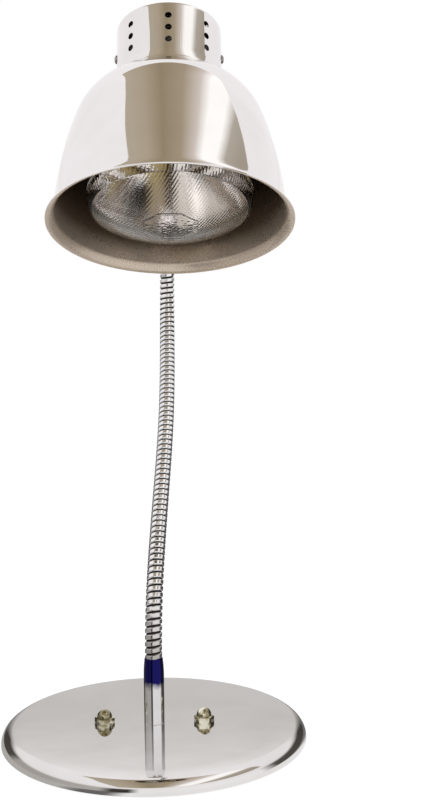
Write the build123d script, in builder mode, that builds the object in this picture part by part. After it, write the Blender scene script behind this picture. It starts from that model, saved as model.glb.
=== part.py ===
from build123d import *
import math
import os

os.makedirs("parts", exist_ok=True)

# Buffet heat lamp, in millimetres. The origin is on the counter under the middle of the round base,
# +Z is up, the shade hangs towards -Y and +X is to its right.

# Clearances
fit = 0.05
bulb_fit = 0.08
contact_gap = 0.3

# Base cover, ballast and pad
base_radius = 125.0
base_height = 12.0
base_edge = 10.0
cover_sheet = 1.0
cover_lift = 1.0
pad_thickness = 2.0
pad_margin = 4.0
ballast_play = 3.0
ballast_edge = 8.0
pocket_radius = 15.0
pocket_depth = 6.0

# Lead channel and grommet at the base's rear
channel_width = 7.4
channel_depth = 7.6
grommet_diameter = 8.4
grommet_bore = 6.2
grommet_length = 18.0
grommet_proud = 2.0

# Clamp bolts and low-crown acorn nuts
bolt_spread = 82.0
bolt_diameter = 9.5
bolt_head_diameter = 16.0
bolt_head_height = 4.0
bolt_head_recess = 0.2
nut_wall = 1.45
nut_flange = 0.95
nut_hex_height = 5.2
nut_bevel = 0.7
nut_height = 11.5
nut_hole_rise = 1.4

# Sleeves at the two ends of the neck, and their hollow studs
sleeve_diameter = 16.9
sleeve_mouth_diameter = 14.9
stem_sleeve_length = 54.6
stem_taper_length = 15.6
end_sleeve_length = 25.4
end_taper_length = 10.0
spigot_diameter = 12.0
spigot_length = 10.0
stud_diameter = 12.0
stud_bore = 7.0
stud_grip = 12.0
locknut_width = 19.0
locknut_height = 4.0
washer_diameter = 24.0
washer_thickness = 1.2
end_stud_diameter = 10.0
end_stud_bore = 6.5
end_stud_grip = 11.0
end_stud_tail = 1.0
end_locknut_width = 14.0
end_locknut_height = 3.0
end_washer_diameter = 17.0
end_washer_thickness = 1.6

# Ribbed neck: each link's bend back and to the right, in degrees, from the base up
turn_pitch = 5.4
turns_per_link = 8
crest_diameter = 14.2
valley_diameter = 12.0
neck_bore = 9.0
valley_share = 0.18
crest_share = 0.44
back_bends = (24.5, 17.5, 1.5, 0, 0, 0, 0, -11, -31, -39, -23, -6, -0.9, 0, 0)
right_bends = (2, 1, 0.5, 0, -1, -1.5, -1, 0, 0.75, 1.25, 0.5, -0.5, -0.5, -0.75, -0.75)

# Cap of the head
cap_radius = 39.3
cap_length = 45.1
cap_sheet = 0.8
cap_edge = 3.0
vent_diameter = 5.0
vent_pitch = 10.0
vent_top_drop = 12.3
vent_columns = (-90, -45, -135, 45, 135)
neck_entry_drop = 25.4

# Shade with its flared lip, and the collar that stands round the cap's foot
lip_radius = 89.9
lip_height = 6.5
wall_radius = 84.0
belly_radius = 79.5
belly_height = 42.0
shoulder_radius = 69.5
shoulder_height = 80.0
dome_height = 114.3
dome_sheet = 0.8
corner_reach = 2.4
corner_rise = 3.6
collar_height = 4.7

# Screws of the head
cap_screw_diameter = 4.0
cap_screw_length = 5.0
cap_screw_head = 6.8
cap_screw_head_height = 2.0
cap_screw_drop = 24.1
collar_screw_diameter = 3.0
collar_screw_length = 3.0
collar_screw_head = 4.0
collar_screw_head_height = 1.2
collar_screw_rise = 2.6
collar_screw_angles = (90, 30, 150)

# Strap and lampholder
holder_headroom = 15.3
strap_sheet = 1.5
strap_width = 14.0
strap_leg = 19.0
strap_bend = 3.0
strap_play = 0.15
holder_radius = 22.0
holder_top_radius = 19.0
holder_step = 14.0
holder_roof = 5.0
holder_overlap = 2.7
shell_wall = 0.8
holder_screw_spread = 24.0
holder_screw_diameter = 4.0
holder_screw_length = 5.5
holder_screw_head = 7.4
holder_screw_head_height = 2.4
spring_radius = 4.5
spring_thickness = 0.8
button_radius = 2.6
button_height = 1.2

# Heat bulb, from its contact down to its lens
contact_radius = 5.0
contact_height = 1.4
insulator_length = 3.1
insulator_plug = 3.0
screw_radius = 13.2
screw_sheet = 0.5
screw_length = 19.5
skirt_length = 20.0
skirt_hold = 8.0
skirt_sheet = 0.8
neck_glass_radius = 19.0
neck_glass_length = 8.0
bowl_neck_radius = 21.0
bowl_depth = 60.0
bowl_belly_radius = 44.0
bowl_belly_rise = 29.5
bowl_glass = 2.5
bulb_radius = 60.5
ring_proud = 0.6
ring_height = 8.0
lens_step = 5.5
lens_edge_inset = 2.0
lens_bulge = 15.5
lens_glass = 3.0
filament_radius = 0.9
filament_length = 16.0
filament_drop = 18.0
post_radius = 0.7


def finish(piece, name):
    piece.part.label = name
    export_step(piece.part, f"parts/{name}.step")


# Base cover: a spun sheet with a rounded edge, open below, notched at the rear for the grommet
ballast_bottom = pad_thickness
ballast_top = base_height - cover_sheet
grommet_height = pad_thickness + grommet_diameter / 2 + fit


def grommet_notch():
    with BuildSketch(Plane.XZ.offset(-base_radius - grommet_proud)) as notch:
        with Locations((0, grommet_height)):
            Circle(grommet_diameter / 2 + fit)
        with Locations((0, grommet_height / 2)):
            Rectangle(grommet_diameter + 2 * fit, grommet_height)
    extrude(notch.sketch, amount=grommet_length, mode=Mode.SUBTRACT)


def stud_and_bolt_holes():
    with Locations((0, 0, ballast_top)):
        Cylinder(stud_diameter / 2 + fit, 3 * ballast_top, mode=Mode.SUBTRACT)
        with GridLocations(bolt_spread, 1, 2, 1):
            Cylinder(bolt_diameter / 2 + fit, 3 * ballast_top, mode=Mode.SUBTRACT)


with BuildPart() as base_cover:
    with BuildSketch(Plane.XY.offset(cover_lift)):
        Circle(base_radius)
    extrude(amount=base_height - cover_lift)
    fillet(edges().group_by(Axis.Z)[-1], min(base_edge, 0.9 * (base_height - cover_lift)))
    offset(amount=-cover_sheet, openings=faces().sort_by(Axis.Z)[0])
    stud_and_bolt_holes()
    grommet_notch()
finish(base_cover, "base_cover")

# Ballast plate: a turned steel disc, pocketed below for the stud's nut, the bolt heads and the lead
ballast_radius = base_radius - cover_sheet - ballast_play
ballast_thickness = ballast_top - ballast_bottom
with BuildPart() as ballast_plate:
    with BuildSketch(Plane.XY.offset(ballast_bottom)):
        Circle(ballast_radius)
    extrude(amount=ballast_thickness)
    fillet(edges().group_by(Axis.Z)[-1], min(ballast_edge, 0.9 * ballast_thickness))
    with BuildSketch(Plane.XY.offset(ballast_bottom)):
        Circle(pocket_radius)
    extrude(amount=pocket_depth, mode=Mode.SUBTRACT)
    with BuildSketch(Plane.XY.offset(ballast_bottom)):
        with Locations((0, pocket_radius)):
            Rectangle(channel_width, ballast_radius, align=(Align.CENTER, Align.MIN))
    extrude(amount=channel_depth, mode=Mode.SUBTRACT)
    with BuildSketch(Plane.XY.offset(ballast_bottom)):
        with GridLocations(bolt_spread, 1, 2, 1):
            Circle(bolt_head_diameter / 2 + fit)
    extrude(amount=bolt_head_recess + bolt_head_height, mode=Mode.SUBTRACT)
    stud_and_bolt_holes()
    grommet_notch()
finish(ballast_plate, "ballast_plate")

# Foot pad: a soft disc glued under the ballast
with BuildPart() as foot_pad:
    with BuildSketch():
        Circle(ballast_radius - pad_margin)
    extrude(amount=pad_thickness)
finish(foot_pad, "foot_pad")

# Grommet: a bush for the supply lead, seated in the ballast's channel and the cover's rim
with BuildPart() as cord_grommet:
    with BuildSketch(Plane.XZ.offset(-base_radius - grommet_proud)):
        with Locations((0, grommet_height)):
            Circle(grommet_diameter / 2)
            Circle(grommet_bore / 2, mode=Mode.SUBTRACT)
    extrude(amount=grommet_length)
finish(cord_grommet, "cord_grommet")

# Clamp bolts: flat heads in the ballast, shanks up through the cover into the nuts
bolt_foot = ballast_bottom + bolt_head_recess
nut_hole = nut_hex_height + nut_hole_rise
with BuildPart() as clamp_bolts:
    with BuildSketch(Plane.XY.offset(bolt_foot)):
        with GridLocations(bolt_spread, 1, 2, 1):
            Circle(bolt_head_diameter / 2)
    extrude(amount=bolt_head_height)
    with BuildSketch(Plane.XY.offset(bolt_foot)):
        with GridLocations(bolt_spread, 1, 2, 1):
            Circle(bolt_diameter / 2)
    extrude(amount=base_height + nut_hole - contact_gap - bolt_foot)
finish(clamp_bolts, "clamp_bolts")

# Acorn nuts: a bevelled hexagon under a low crown, drilled from below
nut_crown_radius = bolt_diameter / 2 + nut_wall
nut_hole_radius = bolt_diameter / 2 + fit
with BuildPart() as acorn_nuts:
    with BuildSketch(Plane.XY.offset(base_height)):
        with GridLocations(bolt_spread, 1, 2, 1):
            RegularPolygon(nut_crown_radius + nut_flange, 6, major_radius=False)
            Circle(nut_hole_radius, mode=Mode.SUBTRACT)
    extrude(amount=nut_hex_height)
    chamfer(edges().group_by(Axis.Z)[-1].filter_by(GeomType.LINE), nut_bevel)
    for bolt_x in (-bolt_spread / 2, bolt_spread / 2):
        nut = Plane((bolt_x, 0, base_height), x_dir=(1, 0, 0), z_dir=(0, -1, 0))
        with BuildSketch(nut):
            with BuildLine():
                crown = CenterArc((0, nut_height - nut_crown_radius), nut_crown_radius, 0, 90)
                Polyline(crown @ 1, (0, nut_hole), (nut_hole_radius, nut_hole), (nut_hole_radius, 0),
                         (nut_crown_radius, 0), crown @ 0)
            make_face()
        revolve(axis=Axis((bolt_x, 0, 0), (0, 0, 1)))
finish(acorn_nuts, "acorn_nuts")


# Neck sleeve: a turned ferrule with a drawn-in mouth, bored for its stud, the leads and the neck
def neck_sleeve(seat, length, taper_length, stud_hole, stud_depth):
    section = Plane(seat.origin, x_dir=seat.x_dir, z_dir=seat.y_dir * -1)
    with BuildSketch(section) as profile:
        with BuildLine():
            taper = TangentArc((sleeve_diameter / 2, length - taper_length),
                               (sleeve_mouth_diameter / 2, length), tangent=(0, 1))
            Polyline(taper @ 1, (0, length), (0, 0), (sleeve_diameter / 2, 0), taper @ 0)
        make_face()
    revolve(profile.sketch, axis=Axis(seat.origin, seat.z_dir))
    with BuildSketch(seat) as stud_bottom:
        Circle(stud_hole)
    extrude(stud_bottom.sketch, amount=stud_depth, mode=Mode.SUBTRACT)
    with BuildSketch(seat) as bore:
        Circle(neck_bore / 2)
    extrude(bore.sketch, amount=length, mode=Mode.SUBTRACT)
    with BuildSketch(seat.offset(length)) as mouth:
        Circle(spigot_diameter / 2 + fit)
    extrude(mouth.sketch, amount=-spigot_length, mode=Mode.SUBTRACT)


with BuildPart() as stem_sleeve:
    neck_sleeve(Plane.XY.offset(base_height), stem_sleeve_length, stem_taper_length,
                stud_diameter / 2 + fit, stud_grip)
finish(stem_sleeve, "stem_sleeve")

# Stem stud, washer and locknut: they clamp the sleeve through the cover and the ballast
washer_bottom = ballast_bottom + pocket_depth - washer_thickness
stud_foot = ballast_bottom + contact_gap
with BuildPart() as stem_stud:
    with BuildSketch(Plane.XY.offset(stud_foot)):
        Circle(stud_diameter / 2)
        Circle(stud_bore / 2, mode=Mode.SUBTRACT)
    extrude(amount=base_height + stud_grip - stud_foot)
finish(stem_stud, "stem_stud")

with BuildPart() as stem_washer:
    with BuildSketch(Plane.XY.offset(washer_bottom)):
        Circle(washer_diameter / 2)
        Circle(stud_diameter / 2 + fit, mode=Mode.SUBTRACT)
    extrude(amount=washer_thickness)
finish(stem_washer, "stem_washer")

with BuildPart() as stem_locknut:
    with BuildSketch(Plane.XY.offset(washer_bottom)):
        RegularPolygon(locknut_width / 2, 6, major_radius=False)
        Circle(stud_diameter / 2 + fit, mode=Mode.SUBTRACT)
    extrude(amount=-locknut_height)
finish(stem_locknut, "stem_locknut")

# Neck centreline: each link is an arc, and the bends add up from the base
link_count = len(back_bends)
neck_turns = link_count * turns_per_link
steps_per_turn = 100


def neck_direction(turns):
    link = min(int(turns / turns_per_link), link_count - 1)
    share = turns / turns_per_link - link
    lean = math.radians(sum(back_bends[:link]) + back_bends[link] * share)
    side = math.radians(sum(right_bends[:link]) + right_bends[link] * share)
    return Vector(math.sin(side), math.cos(side) * math.sin(lean), math.cos(side) * math.cos(lean))


neck_centres = [Vector(0, 0, base_height + stem_sleeve_length)]
for step in range(neck_turns * steps_per_turn):
    stride = neck_direction((step + 0.5) / steps_per_turn) * (turn_pitch / steps_per_turn)
    neck_centres.append(neck_centres[-1] + stride)


def neck_plane(turns):
    centre = neck_centres[round(turns * steps_per_turn)]
    return Plane(centre, x_dir=(1, 0, 0), z_dir=neck_direction(turns))


# Neck links: ribs of four circles each, a flat valley between links for the bend, a bore for the leads
valley_edge = valley_share / 2
crest_edge = (1 - crest_share) / 2
rib = ((valley_edge, valley_diameter), (crest_edge, crest_diameter),
       (1 - crest_edge, crest_diameter), (1 - valley_edge, valley_diameter))


def neck_link(number):
    first_turn = number * turns_per_link
    last_turn = first_turn + turns_per_link
    rings = [(turn + place, diameter) for turn in range(first_turn, last_turn) for place, diameter in rib]
    if number == 0:
        rings.insert(0, (first_turn, valley_diameter))
    if number == link_count - 1:
        rings.append((last_turn, valley_diameter))
    with BuildPart() as link:
        for turns, diameter in rings:
            with BuildSketch(neck_plane(turns)):
                Circle(diameter / 2)
        loft(ruled=True)
        if number == 0:
            with BuildSketch(neck_plane(first_turn)):
                Circle(spigot_diameter / 2)
            extrude(amount=contact_gap - spigot_length)
        if number == link_count - 1:
            with BuildSketch(neck_plane(last_turn)):
                Circle(spigot_diameter / 2)
            extrude(amount=spigot_length - contact_gap)
        for turns in range(first_turn, last_turn + 1, 2):
            with BuildSketch(neck_plane(turns)):
                Circle(neck_bore / 2)
        loft(ruled=True, mode=Mode.SUBTRACT)
        if number == 0:
            with BuildSketch(neck_plane(first_turn)):
                Circle(neck_bore / 2)
            extrude(amount=-spigot_length, mode=Mode.SUBTRACT)
        if number == link_count - 1:
            with BuildSketch(neck_plane(last_turn)):
                Circle(neck_bore / 2)
            extrude(amount=spigot_length, mode=Mode.SUBTRACT)
    return link


for number in range(link_count):
    finish(neck_link(number), f"neck_link_{number + 1:02d}")

# Head frame: its origin is in the middle of the shade's mouth, Z runs up to the cap and Y to the neck
cap_base = dome_height
cap_top = cap_base + cap_length
entry_height = cap_top - neck_entry_drop
neck_end = neck_plane(neck_turns)
head_up = neck_end.x_dir.cross(neck_end.z_dir * -1)
head_origin = neck_end.origin + neck_end.z_dir * (end_sleeve_length + cap_radius) - head_up * entry_height
head = Plane(head_origin, x_dir=neck_end.x_dir, z_dir=head_up)
head_axis = Axis(head_origin, head_up)
head_section = Plane(head_origin, x_dir=head.x_dir, z_dir=head.y_dir * -1)


def radial_plane(angle, radius, height):
    turn = math.radians(angle)
    outward = head.x_dir * math.cos(turn) + head.y_dir * math.sin(turn)
    return Plane(head_origin + outward * radius + head_up * height, x_dir=head_up, z_dir=outward)


def pan_screw(seat, diameter, length, head_diameter, head_height):
    with BuildSketch(seat) as shank:
        Circle(diameter / 2)
    extrude(shank.sketch, amount=-length)
    with BuildSketch(seat) as pan:
        Circle(head_diameter / 2)
    extrude(pan.sketch, amount=head_height / 2)
    with BuildSketch(seat.offset(head_height / 2)) as pan_top:
        Circle(head_diameter / 2)
    extrude(pan_top.sketch, amount=head_height / 2, taper=30)


def drill(planes, radius, depth):
    with Locations(*planes):
        Cylinder(radius, 2 * depth, mode=Mode.SUBTRACT)


# Cap: a drawn stainless cup with three rows of vents, and holes for its screws and the neck
cap_inner_radius = cap_radius - cap_sheet
cap_screw_seats = [radial_plane(angle, cap_radius, cap_top - cap_screw_drop) for angle in (0, 180)]
collar_radius = cap_radius + fit + dome_sheet
collar_screw_seats = [radial_plane(angle, collar_radius, cap_base + collar_screw_rise)
                      for angle in collar_screw_angles]
neck_entry = radial_plane(90, cap_radius, entry_height)
vents = [radial_plane(angle, cap_radius, cap_top - vent_top_drop - row * vent_pitch)
         for angle in vent_columns for row in range(3)]
with BuildPart() as socket_cap:
    with BuildSketch(head.offset(cap_base)):
        Circle(cap_radius)
    extrude(amount=cap_length)
    fillet(edges().sort_by(head_axis)[-1], cap_edge)
    offset(amount=-cap_sheet, openings=faces().sort_by(head_axis)[0])
    drill(vents, vent_diameter / 2, 3 * cap_sheet)
    drill(cap_screw_seats, cap_screw_diameter / 2 + fit, 3 * cap_sheet)
    drill(collar_screw_seats, collar_screw_diameter / 2 + fit, 3 * cap_sheet)
    drill([neck_entry], end_stud_diameter / 2 + fit, 3 * cap_sheet)
finish(socket_cap, "socket_cap")

# End sleeve: its foot is saddled to the round cap
saddle = cap_radius - math.sqrt(cap_radius ** 2 - (sleeve_diameter / 2) ** 2)
with BuildPart() as neck_end_sleeve:
    neck_sleeve(neck_entry.offset(-saddle), end_sleeve_length + saddle, end_taper_length,
                end_stud_diameter / 2 + fit, end_stud_grip + saddle)
    with BuildSketch(head.offset(cap_base)):
        Circle(cap_radius)
    extrude(amount=cap_length, mode=Mode.SUBTRACT)
finish(neck_end_sleeve, "neck_end_sleeve")

# End washer, locknut and stud inside the cap
washer_reach = math.sqrt(cap_inner_radius ** 2 - (end_washer_diameter / 2) ** 2)
end_washer_seat = radial_plane(90, washer_reach - end_washer_thickness, entry_height)
with BuildPart() as end_washer:
    with BuildSketch(end_washer_seat):
        Circle(end_washer_diameter / 2)
        Circle(end_stud_diameter / 2 + fit, mode=Mode.SUBTRACT)
    extrude(amount=cap_inner_radius)
    with BuildSketch(head.offset(cap_base)):
        Circle(cap_inner_radius)
    extrude(amount=cap_length, mode=Mode.INTERSECT)
finish(end_washer, "end_washer")

with BuildPart() as end_locknut:
    with BuildSketch(end_washer_seat):
        RegularPolygon(end_locknut_width / 2, 6, major_radius=False)
        Circle(end_stud_diameter / 2 + fit, mode=Mode.SUBTRACT)
    extrude(amount=-end_locknut_height)
finish(end_locknut, "end_locknut")

end_stud_foot = end_washer_seat.offset(-end_locknut_height - end_stud_tail)
end_stud_reach = cap_radius - washer_reach + end_washer_thickness
with BuildPart() as end_stud:
    with BuildSketch(end_stud_foot):
        Circle(end_stud_diameter / 2)
        Circle(end_stud_bore / 2, mode=Mode.SUBTRACT)
    extrude(amount=end_stud_tail + end_locknut_height + end_stud_reach + end_stud_grip)
finish(end_stud, "end_stud")

# Shade: a spun dome with a flared lip, turned up at the top into a collar round the cap's foot
with BuildPart() as shade_dome:
    with BuildSketch(head_section):
        with BuildLine():
            wall = ThreePointArc((wall_radius, lip_height), (belly_radius, belly_height),
                                 (shoulder_radius, shoulder_height))
            TangentArc(wall @ 0, (lip_radius, 0), tangent=(wall % 0) * -1)
            shoulder = TangentArc(wall @ 1, (collar_radius + corner_reach, dome_height - corner_rise),
                                  tangent=wall % 1)
            corner = TangentArc(shoulder @ 1, (collar_radius, dome_height), tangent=shoulder % 1)
            Line(corner @ 1, (collar_radius, dome_height + collar_height))
            offset(amount=dome_sheet, side=Side.LEFT)
        make_face()
    revolve(axis=head_axis)
    drill(collar_screw_seats, collar_screw_diameter / 2 + fit, collar_screw_length)
finish(shade_dome, "shade_dome")

# Pan-head screws of the cap and the collar
with BuildPart() as cap_screws:
    for seat in cap_screw_seats:
        pan_screw(seat, cap_screw_diameter, cap_screw_length, cap_screw_head, cap_screw_head_height)
finish(cap_screws, "cap_screws")

with BuildPart() as collar_screws:
    for seat in collar_screw_seats:
        pan_screw(seat, collar_screw_diameter, collar_screw_length, collar_screw_head,
                  collar_screw_head_height)
finish(collar_screws, "collar_screws")

# Strap: a bent steel strip across the cap, which the cap's screws hold by its legs
holder_top = cap_top - cap_sheet - holder_headroom
strap_top = holder_top + strap_sheet
strap_reach = math.sqrt(cap_inner_radius ** 2 - (strap_width / 2) ** 2) - strap_play
holder_screw_seats = [Plane(head_origin + head.x_dir * x + head_up * strap_top, x_dir=head.x_dir,
                            z_dir=head_up) for x in (-holder_screw_spread / 2, holder_screw_spread / 2)]
with BuildPart() as holder_strap:
    with BuildSketch(head_section):
        with BuildLine():
            FilletPolyline((-strap_reach, strap_top - strap_leg), (-strap_reach, strap_top),
                           (strap_reach, strap_top), (strap_reach, strap_top - strap_leg),
                           radius=strap_bend)
            offset(amount=strap_sheet, side=Side.RIGHT)
        make_face()
    extrude(amount=strap_width / 2, both=True)
    drill(cap_screw_seats, cap_screw_diameter / 2 + fit, 2 * cap_screw_length)
    drill(holder_screw_seats, holder_screw_diameter / 2 + fit, 2 * strap_sheet)
finish(holder_strap, "holder_strap")

# Lampholder: a stepped porcelain body with its metal shell, spring contact and screws
cavity_top = holder_top - holder_roof
bulb_tip = cavity_top - spring_thickness - button_height - contact_gap
screw_top = bulb_tip - contact_height - insulator_length
screw_bottom = screw_top - screw_length
holder_bottom = screw_bottom - holder_overlap
shell_inner_radius = screw_radius + bulb_fit
shell_outer_radius = shell_inner_radius + shell_wall
with BuildPart() as lampholder_body:
    with BuildSketch(head.offset(holder_bottom)):
        Circle(holder_top_radius)
    extrude(amount=holder_top - holder_bottom)
    with BuildSketch(head.offset(holder_bottom)):
        Circle(holder_radius)
    extrude(amount=holder_step)
    with BuildSketch(head.offset(holder_bottom)):
        Circle(shell_outer_radius + fit)
    extrude(amount=cavity_top - holder_bottom, mode=Mode.SUBTRACT)
    drill(holder_screw_seats, holder_screw_diameter / 2 + fit, holder_screw_length + fit)
finish(lampholder_body, "lampholder_body")

with BuildPart() as holder_shell:
    with BuildSketch(head.offset(screw_bottom)):
        Circle(shell_outer_radius)
        Circle(shell_inner_radius, mode=Mode.SUBTRACT)
    extrude(amount=cavity_top - screw_bottom)
finish(holder_shell, "holder_shell")

with BuildPart() as centre_contact:
    with BuildSketch(head.offset(cavity_top)):
        Circle(spring_radius)
    extrude(amount=-spring_thickness)
    with BuildSketch(head.offset(cavity_top - spring_thickness)):
        Circle(button_radius)
    extrude(amount=-button_height)
finish(centre_contact, "centre_contact")

with BuildPart() as holder_screws:
    for seat in holder_screw_seats:
        pan_screw(seat, holder_screw_diameter, holder_screw_length, holder_screw_head,
                  holder_screw_head_height)
finish(holder_screws, "holder_screws")

# Bulb base: contact, insulator, screw shell and skirt
with BuildPart() as bulb_contact:
    with BuildSketch(head.offset(bulb_tip - contact_height)):
        Circle(contact_radius)
    extrude(amount=contact_height, taper=20)
finish(bulb_contact, "bulb_contact")

insulator_radius = screw_radius - screw_sheet - fit
with BuildPart() as bulb_insulator:
    with BuildSketch(head.offset(screw_top - insulator_plug)):
        Circle(insulator_radius)
    extrude(amount=insulator_plug)
    with BuildSketch(head.offset(screw_top)):
        Circle(insulator_radius)
    with BuildSketch(head.offset(screw_top + insulator_length)):
        Circle(contact_radius)
    loft()
finish(bulb_insulator, "bulb_insulator")

with BuildPart() as bulb_screw_shell:
    with BuildSketch(head.offset(screw_bottom)):
        Circle(screw_radius)
        Circle(screw_radius - screw_sheet, mode=Mode.SUBTRACT)
    extrude(amount=screw_length)
finish(bulb_screw_shell, "bulb_screw_shell")

glass_top = screw_bottom - skirt_length
skirt_radius = neck_glass_radius + fit + skirt_sheet
with BuildPart() as bulb_skirt:
    with BuildSketch(head_section):
        with BuildLine():
            Polyline((0, glass_top - skirt_hold), (skirt_radius, glass_top - skirt_hold),
                     (skirt_radius, glass_top + skirt_sheet), (screw_radius + skirt_sheet, screw_bottom - 4),
                     (screw_radius, screw_bottom), (0, screw_bottom), close=True)
        make_face()
    revolve(axis=head_axis)
    offset(amount=-skirt_sheet, openings=[faces().sort_by(head_axis)[0], faces().sort_by(head_axis)[-1]])
finish(bulb_skirt, "bulb_skirt")

# Bulb glass: a silvered bowl and a bulging lens with a ring
bowl_top = glass_top - neck_glass_length
bowl_rim = bowl_top - bowl_depth
with BuildPart() as bulb_reflector:
    with BuildSketch(head_section):
        with BuildLine():
            bowl = ThreePointArc((bulb_radius - ring_proud, bowl_rim),
                                 (bowl_belly_radius, bowl_rim + bowl_belly_rise),
                                 (bowl_neck_radius, bowl_top - 2))
            Polyline(bowl @ 1, (neck_glass_radius, bowl_top), (neck_glass_radius, glass_top), (0, glass_top))
            offset(amount=bowl_glass, side=Side.LEFT)
        make_face()
        with Locations((0, bowl_rim)):
            Rectangle(2 * bulb_radius, ring_height, align=(Align.CENTER, Align.MAX), mode=Mode.SUBTRACT)
    revolve(axis=head_axis)
finish(bulb_reflector, "bulb_reflector")

lens_edge_radius = bulb_radius - lens_edge_inset
ring_bottom = bowl_rim - ring_height
lens_front = ring_bottom - lens_step - lens_bulge
with BuildPart() as bulb_lens:
    with BuildSketch(head_section):
        with BuildLine():
            TangentArc((0, lens_front), (lens_edge_radius, lens_front + lens_bulge), tangent=(1, 0))
            Polyline((lens_edge_radius, lens_front + lens_bulge), (bulb_radius, ring_bottom),
                     (bulb_radius, bowl_rim))
            offset(amount=lens_glass, side=Side.LEFT)
        make_face()
    revolve(axis=head_axis)
finish(bulb_lens, "bulb_lens")

# Filament on its two posts
post_top = glass_top - bowl_glass
post_sides = (-filament_length / 2, filament_length / 2)
with BuildPart() as filament_posts:
    with BuildSketch(head.offset(post_top)):
        with Locations(*[(x, 0) for x in post_sides]):
            Circle(post_radius)
    extrude(amount=-filament_drop)
finish(filament_posts, "filament_posts")

filament_start = head_origin + head_up * (post_top - filament_drop + filament_radius)
filament_half = filament_length / 2 - post_radius
with BuildPart() as bulb_filament:
    with BuildSketch(Plane(filament_start - head.x_dir * filament_half, x_dir=head_up, z_dir=head.x_dir)):
        Circle(filament_radius)
    extrude(amount=2 * filament_half)
finish(bulb_filament, "bulb_filament")
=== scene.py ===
import bpy
import bmesh
from functools import partial
from math import asin, atan2, cos, degrees, hypot, pi, radians, sin, sqrt, tau
from mathutils import Matrix, Vector


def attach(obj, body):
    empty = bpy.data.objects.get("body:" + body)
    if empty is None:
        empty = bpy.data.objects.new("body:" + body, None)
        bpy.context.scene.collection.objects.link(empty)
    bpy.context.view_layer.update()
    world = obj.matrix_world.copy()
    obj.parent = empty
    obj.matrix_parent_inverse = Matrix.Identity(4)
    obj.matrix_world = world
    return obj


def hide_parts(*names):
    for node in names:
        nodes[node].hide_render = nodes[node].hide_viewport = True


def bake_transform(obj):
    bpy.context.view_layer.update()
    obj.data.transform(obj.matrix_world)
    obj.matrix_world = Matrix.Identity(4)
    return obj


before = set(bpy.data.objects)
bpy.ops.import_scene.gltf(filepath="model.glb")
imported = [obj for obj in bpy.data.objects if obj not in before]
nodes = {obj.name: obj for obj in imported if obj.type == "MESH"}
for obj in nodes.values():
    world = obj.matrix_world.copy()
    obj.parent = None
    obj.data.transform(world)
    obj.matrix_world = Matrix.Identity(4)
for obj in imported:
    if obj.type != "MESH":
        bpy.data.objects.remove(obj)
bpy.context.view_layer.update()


# Camera
# It stands one metre in front of the lamp, level with the middle of the neck, as a person
# would who sits at the counter.
camera_place = (0.02727, -0.97997, 0.36395)
camera_yaw = -0.0284
camera_pitch = -0.0871
camera_roll = 0.0083
focal_length_in_pixels = 1217.3
picture_height_in_pixels = 800
nearest_seen = 0.01


def add_object(name, data):
    """An object of the scene, at the origin and unturned."""
    made = bpy.data.objects.new(name, data)
    bpy.context.scene.collection.objects.link(made)
    return made


camera_data = bpy.data.cameras.new("photographer")
camera_data.lens = camera_data.sensor_width * focal_length_in_pixels / picture_height_in_pixels
camera_data.clip_start = nearest_seen
camera = add_object("photographer", camera_data)
camera.matrix_world = (
    Matrix.Translation(camera_place)
    @ Matrix.Rotation(camera_yaw, 4, "Z")
    @ Matrix.Rotation(camera_pitch, 4, "X")
    @ Matrix.Rotation(camera_roll, 4, "Y")
    @ Matrix.Rotation(pi / 2, 4, "X")
)
bpy.context.scene.camera = camera
bpy.context.scene.view_settings.view_transform = "Standard"


# Studio
# A white room and a white floor that keeps the lamp's shadow. The polished steel mirrors more: a
# brown ceiling with a white light panel, and dark sectors round the counter. Glass shows patches.
def feed(tree, node, inputs):
    """Gives a node its inputs: values are set, sockets and lists of sockets get links."""
    for key, value in dict(inputs).items():
        if isinstance(value, (bpy.types.NodeSocket, list)):
            for source in value if isinstance(value, list) else [value]:
                tree.links.new(source, node.inputs[key])
        else:
            node.inputs[key].default_value = value


def add_node(tree, kind, inputs=(), **settings):
    """The outputs of a new node with these settings and inputs."""
    made = tree.nodes.new(kind)
    for name, value in settings.items():
        setattr(made, name, value)
    feed(tree, made, inputs)
    return made.outputs


def math_node(tree, operation, *values, **settings):
    """A sum or the like of numbers."""
    return add_node(tree, "ShaderNodeMath", enumerate(values), operation=operation, **settings)[0]


def vector_node(tree, operation, *values):
    """A sum or the like of vectors."""
    keys = (0, "Scale") if operation == "SCALE" else range(len(values))
    made = add_node(tree, "ShaderNodeVectorMath", zip(keys, values), operation=operation)
    return made["Value" if operation == "DOT_PRODUCT" else "Vector"]


def axes(tree, vector):
    """The parts X, Y and Z of a vector."""
    return add_node(tree, "ShaderNodeSeparateXYZ", {"Vector": vector})


def value_map(tree, value, low, high, to_low=0.0, to_high=1.0, **settings):
    """A value taken from one range to another, and kept inside it."""
    return add_node(tree, "ShaderNodeMapRange", {
        "Value": value, "From Min": low, "From Max": high, "To Min": to_low, "To Max": to_high,
    }, **settings)["Result"]


def noise(tree, place, scale, detail=2.0, ragged=0.5, **inputs):
    """Noise at a place, as shares and as colours."""
    return add_node(tree, "ShaderNodeTexNoise", {
        "Vector": place, "Scale": scale, "Detail": detail, "Roughness": ragged, **inputs})


def mixed(tree, factor, one, other, **settings):
    """Two colours, mixed."""
    return add_node(tree, "ShaderNodeMix", {"Factor": factor, "A": one, "B": other},
                    data_type="RGBA", **settings)["Result"]


def color_band(tree, factor, stops):
    """A ramp through stops of (place, red, green, blue), all in percent, read at factor."""
    ramp = tree.nodes.new("ShaderNodeValToRGB")
    feed(tree, ramp, {"Fac": factor})
    marks = ramp.color_ramp.elements
    while len(marks) < len(stops):
        marks.new(0.5)
    for mark, (place, *color) in zip(marks, stops):
        mark.position = place / 100
        mark.color = (*(part / 100 for part in color), 1)
    return ramp.outputs["Color"]


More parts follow.
